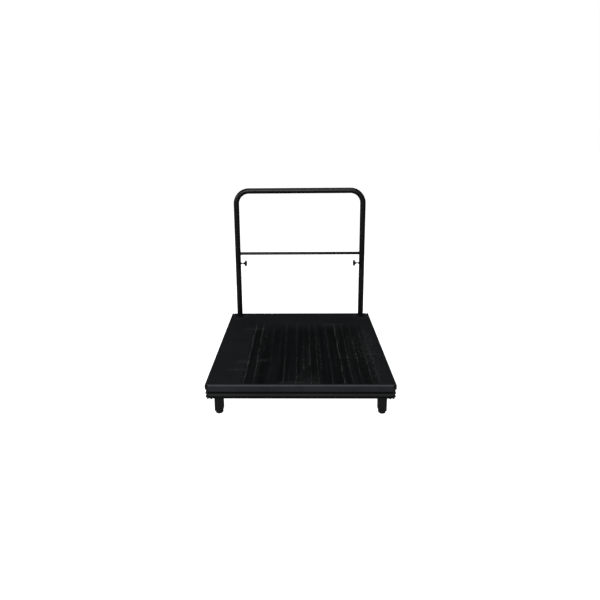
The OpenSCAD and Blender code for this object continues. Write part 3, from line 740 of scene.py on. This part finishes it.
def tubeOn(points, radius, wall, rim, bend=0.0):
    # a round tube with its wall and rounded rims
    piece = newPiece(points, [(i, i + 1) for i in range(len(points) - 1)])
    useTree(piece, tubeTree, Tube_radius=radius * mm, Bend_radius=bend * mm, Material=finishes["tube"])
    facingOut(piece)
    shell = piece.modifiers.new("wall", "SOLIDIFY")
    shell.thickness, shell.offset = wall * mm, -1
    edge = piece.modifiers.new("rims", "BEVEL")
    edge.width, edge.segments, edge.limit_method, edge.angle_limit = rim * mm, 3, "ANGLE", math.radians(60)
    takeModifiers(piece)
    return piece


def beadOn(points, size):
    # a closed run of weld
    piece = newPiece(points, [(i, (i + 1) % len(points)) for i in range(len(points))])
    useTree(piece, beadTree, Spacing=size * 0.8 * mm, Size=size * mm, Material=finishes["tube"])
    return piece


def fastenersOn(node, fastener, places, finish="zinc"):
    # places are (point, direction) pairs
    piece = newPiece([p for p, d in places])
    attribute = piece.data.attributes.new("pointing", "FLOAT_VECTOR", "POINT")
    attribute.data.foreach_set("vector", [c for p, d in places for c in d])
    useTree(piece, fastenerTree, Fastener=fastener, Material=finishes[finish])
    bpy.data.objects.remove(fastener)
    finishPiece(piece, "platform", finish, node)


print("node trees made")


def drill(piece, point, radius, length):
    # a round hole along x
    tool = turned([(0, -length / 2), (radius, -length / 2), (radius, length / 2), (0, length / 2)],
                  point, "x", 48)
    cut = piece.modifiers.new("hole", "BOOLEAN")
    cut.object, cut.solver = tool, "EXACT"
    takeModifiers(piece)
    bpy.data.objects.remove(tool)


# deck, frame rails and joists, with their edges broken

softenedPieces = (
    # CAD nodes, finish, edge radius
    ("deck_panel", "deck", 0.4),
    ("side_rail_left side_rail_right", "frameY", 0.35),
    ("front_rail rear_rail", "frameX", 0.35),
    ("end_caps", "endCap", 0.6),
    ("corner_brackets", "bracket", 0.5),
    ("joist_left joist_right cross_member", "tube", 0.8),
    ("post_socket_left post_socket_right", "bracket", 0.5),
    ("leg_bracket_left leg_bracket_right wheel_fork_left wheel_fork_right", "bracket", 0.6),
)

for nodes, finish, width in softenedPieces:
    for node in nodes.split():
        finishPiece(softened(node, width), "platform", finish, node, angle=None)
print("frame, deck and brackets made")


# bolts, screws and nuts

boltSettings = {
    # thread is a radius, across the width over the flats, and plain or threaded a length of the shank;
    # head is the height of a hexagon head or the radius of a round one
    "corner": {"thread": 3, "across": 8.66, "head": 7.9, "shank": 14, "pitch": 1.0, "plain": 2},
    "joist": {"thread": 3, "head": 5.5, "height": 3.2, "shank": 38, "pitch": 1.0, "plain": 18,
              "socket": 4.0, "deep": 1.9},
    "post": {"thread": 4, "across": 13, "head": 5.12, "pitch": 1.25, "threaded": 14},
    "pivot": {"thread": 5, "across": 17, "head": 6.4, "pitch": 1.5, "threaded": 16, "nut": 8.0},
    "axle": {"thread": 6, "across": 19, "head": 7.68, "pitch": 1.75, "threaded": 16, "nut": 9.6},
    "screw": {"thread": 2.5, "head": 4.75, "height": 3.0, "pitch": 1.9},
}


def threadOf(radius, start, end, pitch):
    # outline of a thread from start to end, both heights
    made, depth = [], pitch * 0.5
    turns = max(2, round(abs(end - start) / pitch))
    step = (end - start) / turns
    for i in range(turns):
        made += [(radius - depth, start + i * step), (radius, start + (i + 0.35) * step),
                 (radius, start + (i + 0.6) * step)]
    return made + [(radius - depth, end), (radius - depth * 1.4, end), (0, end)]


def hexBolt(settings, shank, plain, centre=(0, 0, 0), axis="z"):
    # the head stands on the seat at height 0 and the shank runs down from it
    thread, across, head, pitch = (settings[k] for k in ("thread", "across", "head", "pitch"))
    corner, limit = across / 2 * 1.155, hexagon(across)
    outline = [(0, head), (across * 0.40, head), (across * 0.45, head), (corner, head - across * 0.10, limit),
               (corner, head * 0.12, limit), (across * 0.475, head * 0.10), (across * 0.475, 0),
               (thread, 0), (thread, -plain)]
    return turned(outline + threadOf(thread, -plain, -shank, pitch), centre, axis)


def hexNut(settings):
    thread, across, height = (settings[k] for k in ("thread", "across", "nut"))
    corner, limit = across / 2 * 1.155, hexagon(across)
    outline = [(thread * 1.12, 0), (across * 0.475, 0), (across * 0.475, height * 0.06),
               (corner, height * 0.12, limit), (corner, height - across * 0.08, limit),
               (across * 0.46, height), (thread * 1.12, height), (thread * 1.01, height * 0.9),
               (thread * 1.01, height * 0.1)]
    return turned(outline, closed=True)


def panScrew(settings, length):
    # a wood screw standing on its head, its seat at height 0 and its point up
    thread, head, height, pitch = (settings[k] for k in ("thread", "head", "height", "pitch"))
    recess = [(0, -height + 1.9), (0.6, -height + 1.7, cross(2.4, 0.8)), (head, -height, cross(4.8, 1.1))]
    pan = [(head * 0.55, -height), (head * 0.80, -height * 0.92), (head * 0.95, -height * 0.70),
           (head, -height * 0.42), (head, -height * 0.08), (head * 0.97, 0), (thread, 0)]
    return turned(recess + pan + threadOf(thread, 0.0, length, pitch))


def buttonScrew(settings):
    # a round head with a hexagon socket, otherwise like hexBolt
    thread, head, height, socket = (settings[k] for k in ("thread", "head", "height", "socket"))
    limit, floor = hexagon(socket), height - settings["deep"]
    outline = [(0, floor), (head, floor, limit), (head, height - 0.15, limit), (socket * 0.62, height),
               (head * 0.62, height), (head * 0.86, height * 0.80), (head * 0.97, height * 0.45),
               (head, height * 0.12), (head * 0.98, 0), (thread, 0)]
    return turned(outline + threadOf(thread, -settings["plain"], -settings["shank"], settings["pitch"]))


def loosened(node):
    # the low and high corners of each loose part of a CAD node
    work = workOn(cadNodes[node].data)
    mergePoints(work)
    left, made = set(work.verts), []
    while left:
        group, front = set(), [left.pop()]
        while front:
            point = front.pop()
            group.add(point)
            for edge in point.link_edges:
                other = edge.other_vert(point)
                if other in left:
                    left.remove(other)
                    front.append(other)
        made.append([Vector([pick(p.co[i] for p in group) for i in range(3)]) / mm for pick in (min, max)])
    work.free()
    return sorted(made, key=lambda pair: tuple(round(c, 2) for c in pair[0]))


def makeFrameFasteners(settings):
    corner, joist, screw = (settings[k] for k in ("corner", "joist", "screw"))
    seat = boxOf("front_rail")[0].z
    places = [(seated(*part, z=seat), (0, 0, -1)) for part in loosened("corner_bolts")]
    fastenersOn("corner_bolts", hexBolt(corner, corner["shank"], corner["plain"]), places,
                "oxide")
    places = []
    for part in loosened("joist_bolts"):
        out, tip = outerEnd(*part, "y")
        places.append((seated(*part, y=tip - out * joist["height"]), (0, out, 0)))
    fastenersOn("joist_bolts", buttonScrew(joist), places, "oxide")
    for node in ("panel_screws", "bracket_screws"):
        found = loosened(node)
        low, high = found[0]
        template = panScrew(screw, high.z - low.z - screw["height"])
        places = [(seated(*part, z=part[0].z + screw["height"]), (0, 0, 1)) for part in found]
        fastenersOn(node, template, places)


def makeCrossBolts(settings):
    for node, kind in (("pivot_bolt", "pivot"), ("axle", "axle")):
        bolt = settings[kind]
        for side in sides:
            low, high = boxOf(f"{node}_{side}")
            way, tip = outerEnd(low, high, "x")
            length = high.x - low.x - bolt["head"]
            seat = seated(low, high, x=tip - way * bolt["head"])
            piece = hexBolt(bolt, length, length - bolt["threaded"], seat, "x" if way > 0 else "-x")
            finishPiece(piece, "platform", "zinc", f"{node}_{side}")
    for node, kind in (("pivot_nuts", "pivot"), ("axle_nuts", "axle")):
        places = []
        for part in loosened(node):
            way, seat = outerEnd(*part, "x")
            places.append((seated(*part, x=seat), (-way, 0, 0)))
        fastenersOn(node, hexNut(settings[kind]), places)
    bolt, found = settings["post"], loosened("post_bolts")
    low, high = found[0]
    length = high.x - low.x - bolt["head"]
    places = [(seated(*part, x=part[0].x + bolt["head"]), (-1, 0, 0)) for part in found]
    fastenersOn("post_bolts", hexBolt(bolt, length, length - bolt["threaded"]), places)


makeFrameFasteners(boltSettings)
makeCrossBolts(boltSettings)
print("bolts, screws and nuts made")


# uprights and collars

tubeSettings = {
    "radius": 19.0, "wall": 2.5, "bend": 88.0, "rim": 0.5,
    "crossbarRadius": 10.0, "crossbarWall": 2.0, "crossbarEnd": 16.6, "crossbarRim": 0.2,
    "weld": 1.9, "nutWeld": 1.4, "padHole": 4.3, "boltHole": 4.0, "collarEdge": 1.6,
}


def makePosts(settings):
    radius = settings["radius"]
    for bolt, side in zip(loosened("post_bolts"), sides):
        node = f"lower_post_{side}"
        low, high = boxOf(node)
        joint, x, y = high.z, (low.x + high.x) / 2, (low.y + high.y) / 2
        post = tubeOn([(x, y, low.z), (x, y, joint)], radius, settings["wall"], settings["rim"])
        drill(post, seated(*bolt, x=x, y=y), settings["boltHole"], 60)
        finishPiece(post, "platform", "tube", node)

        node = f"spigot_{side}"
        low, high = boxOf(node)
        wide, edge = (high.x - low.x) / 2, 0.8
        slim, bore = wide - 0.3, wide - 3.0
        outline = [(bore, low.z + edge), (bore + edge, low.z), (wide - edge, low.z), (wide, low.z + edge),
                   (wide, joint - 0.2), (slim, joint), (slim, high.z - 2 * edge),
                   (slim - edge, high.z), (bore + edge, high.z), (bore, high.z - edge)]
        finishPiece(turned(outline, (x, y, 0), closed=True), "platform", "bare", node)

        node = f"post_collar_{side}"
        low, high = boxOf(node)
        outer, inner, edge = (high.x - low.x) / 2, radius + 0.1, settings["collarEdge"]
        outline = [(inner, low.z), (outer - 0.2, low.z), (outer, low.z + 0.2)]
        outline += [(outer - edge + edge * math.cos(a), high.z - edge + edge * math.sin(a))
                    for a in arc(0, 90, 6)]
        outline += [(inner + 0.8, high.z), (inner, high.z - 0.6)]
        collar = turned(outline, (x, y, 0), steps=96, closed=True)
        finishPiece(collar, "platform", "tube", node)


makePosts(tubeSettings)
print("posts, spigots and collars made")


# upper rail, crossbar and their welds

def makeRail(settings):
    low, high = boxOf("upper_rail")
    radius = settings["radius"]
    x, y, top = high.x - radius, (low.y + high.y) / 2, high.z - radius
    knobZ, barZ = middle("knob_left").z, middle("crossbar").z
    rail = tubeOn([(-x, y, low.z), (-x, y, top), (x, y, top), (x, y, low.z)], radius,
                  settings["wall"], settings["rim"], settings["bend"])
    for way in sides.values():
        drill(rail, (way * (x - radius), y, knobZ), settings["padHole"], 14)
    finishPiece(rail, "rail", "tube", "upper_rail")

    end = x - settings["crossbarEnd"]
    bar = tubeOn([(-end, y, barZ), (end, y, barZ)], settings["crossbarRadius"],
                 settings["crossbarWall"], settings["crossbarRim"])
    finishPiece(bar, "rail", "tube", "crossbar")

    def saddle(way, z, reach):
        # where a round piece of this radius meets the upright
        made = []
        for a in arc(0, 354, 59):
            dy, dz = reach * math.sin(a), reach * math.cos(a)
            made.append((way * (x - math.sqrt(radius ** 2 - dy ** 2)), y + dy, z + dz))
        return made

    welds = []
    for way in sides.values():
        welds += [beadOn(saddle(way, barZ, settings["crossbarRadius"] + 0.5), settings["weld"]),
                  beadOn(saddle(way, knobZ, 7.4), settings["nutWeld"])]
    finishPiece(joined(welds), "rail", "tube", name="railWelds", angle=60)


makeRail(tubeSettings)
print("upper rail, crossbar and welds made")


# clamp nuts, pads, screws and knobs

knobSettings = {
    "head": 14.0, "ribs": 24, "ribDepth": 0.8, "dome": 3.0, "edge": 2.0, "dish": 1.0, "hubRib": 0.8,
    "nutRadius": 7.0, "padRadius": 4.0, "screwRadius": 4.0, "pitch": 1.25, "tip": 2.0,
}


def makeClamps(settings):
    low, high = boxOf("upper_rail")
    thread, slim = settings["screwRadius"], settings["tip"]
    for side, way in sides.items():
        axis = "x" if way < 0 else "-x"
        centre = seated(low, high, x=way * (high.x - tubeSettings["radius"]), z=middle(f"knob_{side}").z)

        def reach(node):
            # the node's start and end along the clamp's axis
            return sorted(abs(v.x - centre.x) for v in boxOf(f"{node}_{side}"))

        start, end = reach("clamp_nut")
        wide, bore = settings["nutRadius"], thread + 0.05
        outline = [(bore, start), (wide, start), (wide, end - 1.0), (wide - 0.3, end - 0.4),
                   (wide - 1.0, end), (bore + 0.6, end), (bore, end - 0.6)]
        nut = turned(outline, centre, axis, closed=True)
        finishPiece(nut, "rail", "tube", f"clamp_nut_{side}")

        start, end = reach("clamp_pad")
        wide, bore = settings["padRadius"], slim + 0.05
        outline = [(0, start), (wide - 0.6, start), (wide, start + 0.5), (wide, end - 0.5),
                   (wide - 0.5, end), (bore, end), (bore, end - 2.4), (0, end - 2.4)]
        pad = turned(outline, centre, axis, steps=48)
        finishPiece(pad, f"pad_{side}", "zinc", f"clamp_pad_{side}")

        start, end = reach("clamp_screw")
        shoulder = start + 2.2
        outline = [(0, start), (slim - 0.3, start), (slim, start + 0.3), (slim, shoulder),
                   (thread - 0.7, shoulder)]
        outline += threadOf(thread, shoulder + 0.4, end, settings["pitch"])
        screw = turned(outline, centre, axis, steps=48)
        finishPiece(screw, f"knob_{side}", "oxide", f"clamp_screw_{side}")

        start, end = reach("knob")
        wide, bore = extent(f"knob_{side}").z / 2, thread + 0.02
        dome, edge, dish, ribs = (settings[k] for k in ("dome", "edge", "dish", "ribs"))
        back, foot = end - settings["head"], end - dish
        rim, hub = ribbed(wide, settings["ribDepth"], ribs), ribbed(10.2, settings["hubRib"], ribs / 2)
        outline = [(0, start + 5), (bore, start + 5), (bore, start + 0.3), (bore + 0.3, start), (6.4, start),
                   (7.0, start + 0.6), (7.6, start + 3), (8.6, start + 6, hub), (9.8, back - 0.9, hub),
                   (11.0, back), (wide - edge - 2, back)]
        outline += [(wide - edge + edge * math.sin(a), back + edge - edge * math.cos(a), rim)
                    for a in arc(15, 90, 5)]
        outline += [(wide * math.cos(a), end - dome + dome * math.sin(a), rim)
                    for a in arc(0, 78.75, 7) if wide * math.cos(a) > 5]
        outline += [(5.0, end - 0.05), (4.2, end - dish * 0.8), (3.0, foot), (0, foot)]
        knob = turned(outline, centre, axis, steps=192)
        finishPiece(knob, f"knob_{side}", "knob", f"knob_{side}", angle=40)


makeClamps(knobSettings)
print("clamps and knobs made")


# folding legs

legSettings = {
    "corner": 3.6, "wall": 2.5, "edge": 0.5, "footEdge": 3.0, "bushRadius": 7.0, "bore": 5.05,
    "grooves": (5.6, 8.6, 11.6), "grooveDepth": 0.8, "soleGrooves": (9.0, 13.0),
}


def squareTube(half, wall, corner, low, high, centre, edge):
    # upright square tube with round corners and broken rims
    def ring(size, radius, z):
        return [(centre.x + x * (size - radius) + radius * math.cos(a),
                 centre.y + y * (size - radius) + radius * math.sin(a), z)
                for x, y, first in ((-1, -1, 180), (1, -1, 270), (1, 1, 0), (-1, 1, 90))
                for a in arc(first, first + 90, 6)]

    inner, near = half - wall, edge + 2
    levels = [ring(half - edge, corner - edge, low), ring(half, corner, low + edge),
              ring(half, corner, low + near), ring(half, corner, high - near),
              ring(half, corner, high - edge), ring(half - edge, corner - edge, high),
              ring(inner + edge, corner - wall + edge, high), ring(inner, corner - wall, high - edge),
              ring(inner, corner - wall, low + edge), ring(inner + edge, corner - wall + edge, low)]
    count, total = len(levels[0]), len(levels) * len(levels[0])
    faces = []
    for start in range(0, total, count):
        above = (start + count) % total
        for i in range(count):
            j = (i + 1) % count
            faces.append((start + i, start + j, above + j, above + i))
    piece = newPiece([p for level in levels for p in level], faces=faces)
    facingOut(piece)
    return piece


def makeLegs(settings):
    wall, bush, bore = (settings[k] for k in ("wall", "bushRadius", "bore"))
    for side in sides:
        body = f"leg_{side}"
        low, high = boxOf(f"leg_tube_{side}")
        centre, half = (low + high) / 2, (high.x - low.x) / 2
        pivot = middle(f"pivot_bush_{side}")
        tube = squareTube(half, wall, settings["corner"], low.z, high.z, centre, settings["edge"])
        drill(tube, pivot, bush, 60)
        finishPiece(tube, body, "leg", f"leg_tube_{side}")

        joint = low.z
        low, high = boxOf(f"leg_foot_{side}")
        bottom, wide, edge = low.z, (high.x - low.x) / 2, settings["footEdge"]
        outline = [(0, bottom + 0.9), (5, bottom + 0.9), (5.8, bottom)]
        for r in settings["soleGrooves"]:
            outline += [(r, bottom), (r + 0.4, bottom + 0.8), (r + 1.2, bottom + 0.8), (r + 1.6, bottom)]
        outline += [(wide - edge + edge * math.sin(a), bottom + edge - edge * math.cos(a))
                    for a in arc(0, 90, 7)]
        deep = wide - settings["grooveDepth"]
        for height in settings["grooves"]:
            z = bottom + height
            outline += [(wide, z - 0.7), (deep, z - 0.35), (deep, z + 0.35), (wide, z + 0.7)]
        outline += [(wide, joint - 1.2), (wide - 0.4, joint - 0.4), (wide - 1.2, joint), (0, joint)]
        foot = turned(outline, (centre.x, centre.y, 0), steps=96)
        plug = squareTube(half - wall - 0.1, 5, 5.4, joint - 0.5, high.z, centre, 0.4)
        finishPiece(joined([foot, plug]), body, "foot", f"leg_foot_{side}")

        low, high = boxOf(f"pivot_bush_{side}")
        finishPiece(bushing(bore, bush, low.x, high.x, 0.3, 0.2, pivot), body, "zinc",
                    f"pivot_bush_{side}")
        ringsOf(f"friction_washers_{side}", bore, 0.25, pivot, body)


makeLegs(legSettings)
print("legs made")


# wheels

wheelSettings = {
    "tyreThick": 13.0, "crown": 2.5, "grooves": (-7.5, -2.6, 2.6, 7.5), "grooveDepth": 1.4, "grooveWide": 1.3,
    "hubEdge": 0.6, "bearingBore": 6.05, "bearingEdge": 0.4,
}


def makeWheels(settings):
    grooves, groove = settings["grooves"], settings["grooveWide"]
    for side in sides:
        body = f"wheel_{side}"
        centre, size = middle(f"tyre_{side}"), extent(f"tyre_{side}")
        outer, half = size.z / 2, size.x / 2
        rim = outer - settings["tyreThick"]
        spots = [half * (k / 10 - 1) for k in range(21)]
        spots += [at + d * groove / 2 for at in grooves for d in (-1, -0.6, 0.6, 1)]
        outline = []
        for at in sorted(spots):
            crown = outer - settings["crown"] * (abs(at) / half) ** 3
            inside = min(abs(at - g) for g in grooves) < groove * 0.4
            outline.append((crown - (settings["grooveDepth"] if inside else 0), at))
        wall = [(rim + 6, half - 0.5), (rim + 4.6, half), (rim + 3.4, half), (rim + 2.4, half - 0.7),
                (rim, half - 1)]
        outline += wall + [(r, -h) for r, h in reversed(wall)]
        tyre = turned(outline, centre, "x", steps=128, closed=True)
        finishPiece(tyre, body, "tyre", f"tyre_{side}", angle=28)
        hub = softened(f"wheel_hub_{side}", settings["hubEdge"])
        finishPiece(hub, body, "hub", f"wheel_hub_{side}", angle=None)
        ringsOf(f"wheel_bearings_{side}", settings["bearingBore"], settings["bearingEdge"], centre, body)


makeWheels(wheelSettings)
print("wheels made")
